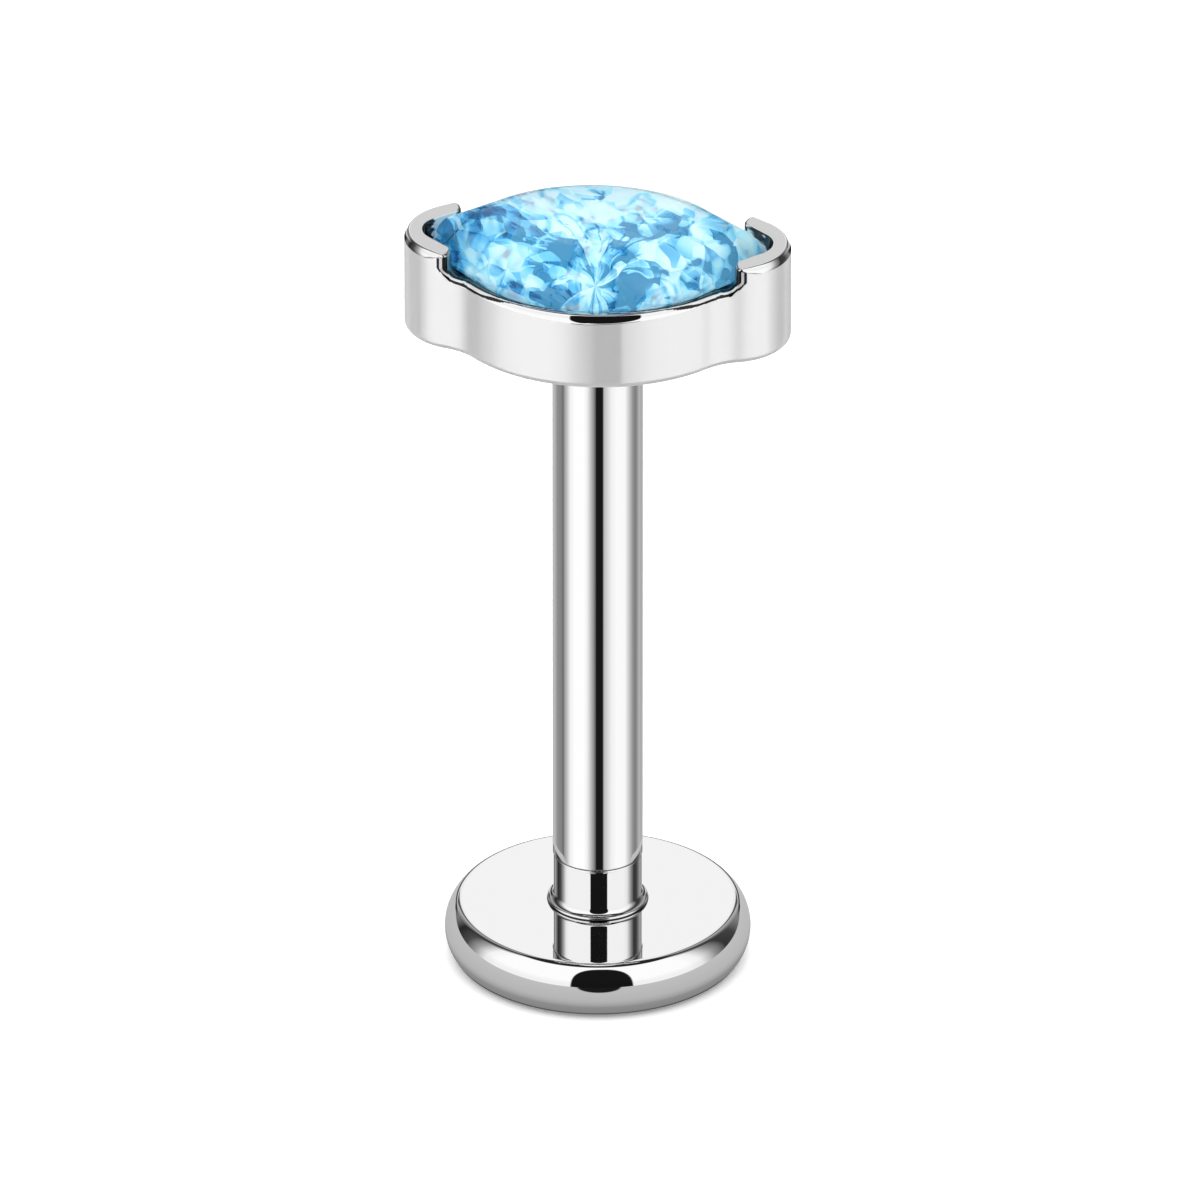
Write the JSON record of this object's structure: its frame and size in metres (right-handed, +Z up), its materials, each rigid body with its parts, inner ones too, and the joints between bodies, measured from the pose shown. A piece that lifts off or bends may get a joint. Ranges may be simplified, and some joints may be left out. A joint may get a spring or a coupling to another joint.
{
  "type": "labret stud",
  "caption": "Stud that stands on a round base disc: a plain tube post and a pull-out marquise cup that holds a faceted pale blue stone between two raised end caps.",
  "frame": {"origin": "middle of the base disc's underside, on the surface that the stud stands on", "axes": "+Z up the post's axis towards the cup, X along the stone's length, Y across it"},
  "size_m": [0.0052, 0.004, 0.011],
  "materials": {
    "polished_steel": "mirror-polished surgical steel",
    "cup_steel": "softly polished surgical steel, brighter on the bevelled edges",
    "blue_stone": "clear sky-blue faceted stone"
  },
  "bodies": {
    "stem": {"base_disc": "polished_steel", "post": "polished_steel"},
    "head": {"setting": "cup_steel", "stone": "blue_stone"}
  },
  "joints": [
    {"name": "head_pull", "type": "slide", "parent": "stem", "child": "head", "axis": [0, 0, 1], "range_m": [0, 0.0085]}
  ]
}
